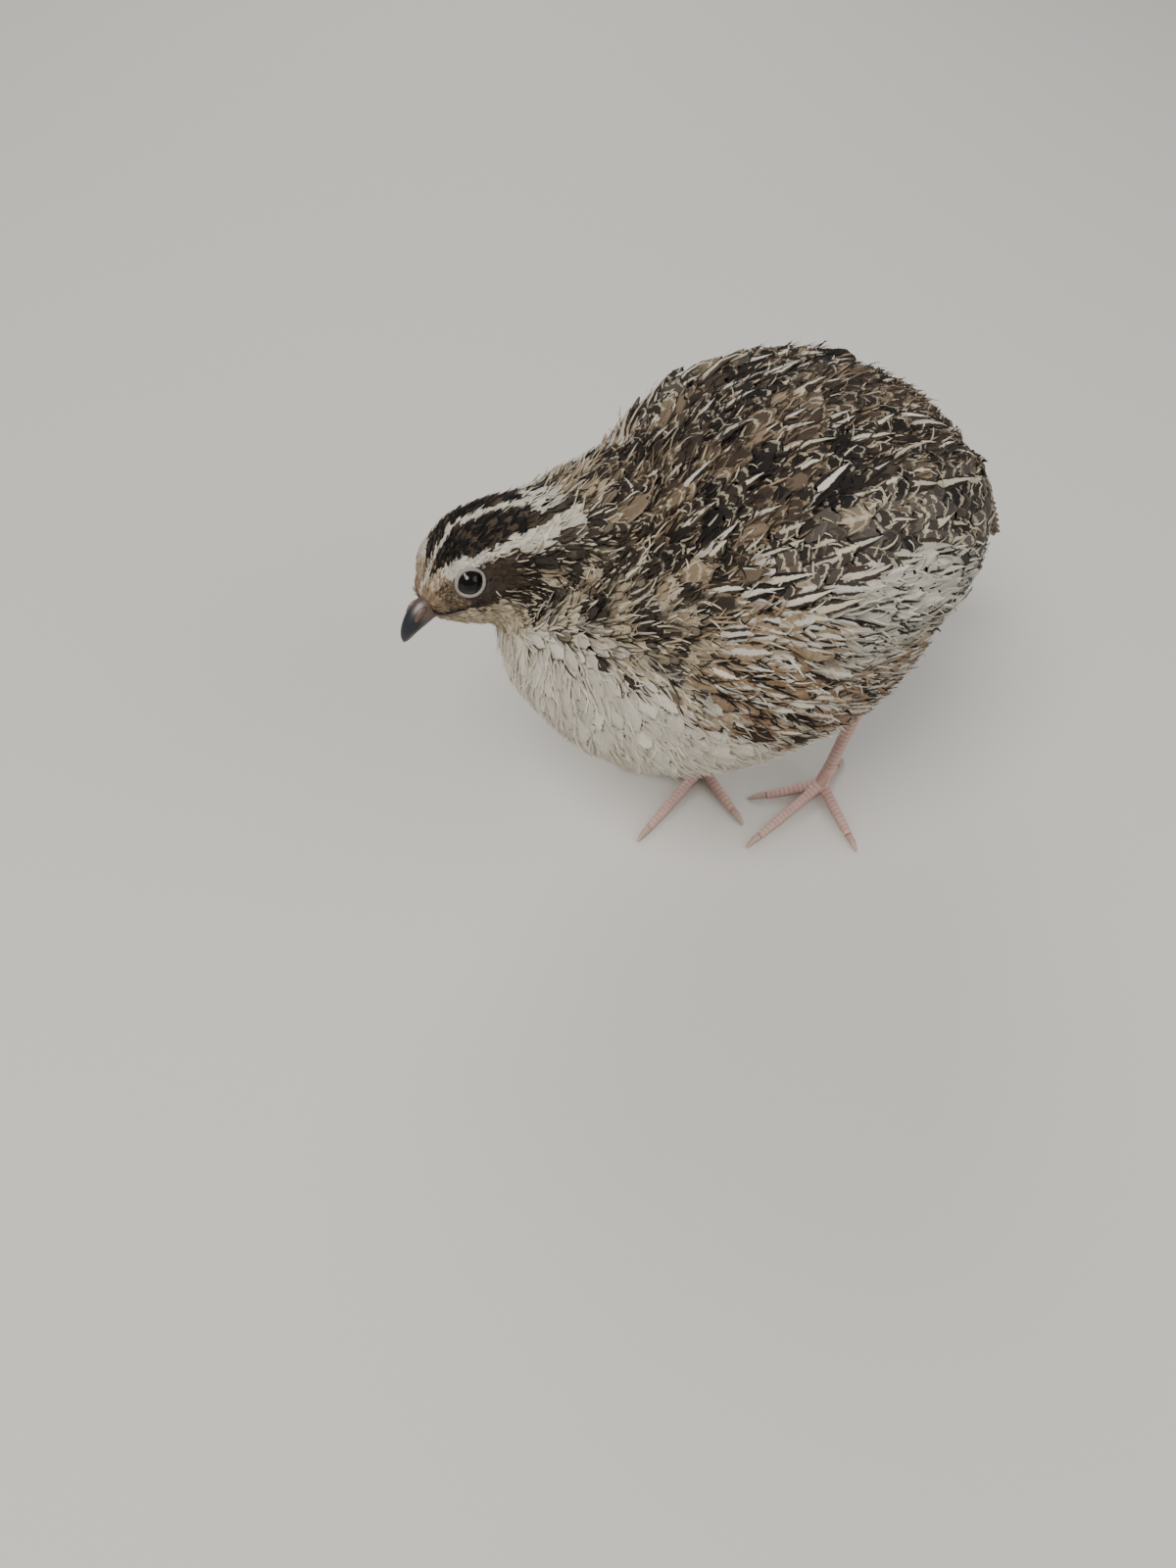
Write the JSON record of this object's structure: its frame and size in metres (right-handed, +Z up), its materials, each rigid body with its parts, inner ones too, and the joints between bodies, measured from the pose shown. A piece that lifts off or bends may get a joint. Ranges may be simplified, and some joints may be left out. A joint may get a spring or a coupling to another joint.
{
  "type": "quail figure",
  "caption": "Small round-bodied ground bird standing hunched with lowered head, short drooping tail and bare toed legs; a still model.",
  "frame": {"origin": "on the floor, under the middle of the whole bird's box", "axes": "+X towards the tail, -X towards the head; +Y the bird's right side; +Z up, feet on the floor"},
  "size_m": [0.1636, 0.0866, 0.1109],
  "materials": {
    "plumage": "soft matte feathers",
    "bill_horn": "smooth dark horn",
    "eye": "wet gloss",
    "leg_skin": "scaled skin, satin",
    "claw_horn": "smooth pale horn"
  },
  "bodies": {
    "root": {"head": "plumage", "neck": "plumage", "torso": "plumage", "wing_left": "plumage", "wing_right": "plumage", "tail": "plumage", "thigh_left": "plumage", "thigh_right": "plumage", "bill_upper": "bill_horn", "bill_lower": "bill_horn", "eye_left": "eye", "eye_right": "eye", "shank_left": "leg_skin", "shank_right": "leg_skin", "toe_left_inner": "leg_skin", "claw_left_inner": "claw_horn", "toe_left_middle": "leg_skin", "claw_left_middle": "claw_horn", "toe_left_outer": "leg_skin", "claw_left_outer": "claw_horn", "toe_left_hind": "leg_skin", "claw_left_hind": "claw_horn", "toe_right_inner": "leg_skin", "claw_right_inner": "claw_horn", "toe_right_middle": "leg_skin", "claw_right_middle": "claw_horn", "toe_right_outer": "leg_skin", "claw_right_outer": "claw_horn", "toe_right_hind": "leg_skin", "claw_right_hind": "claw_horn"}
  },
  "joints": []
}
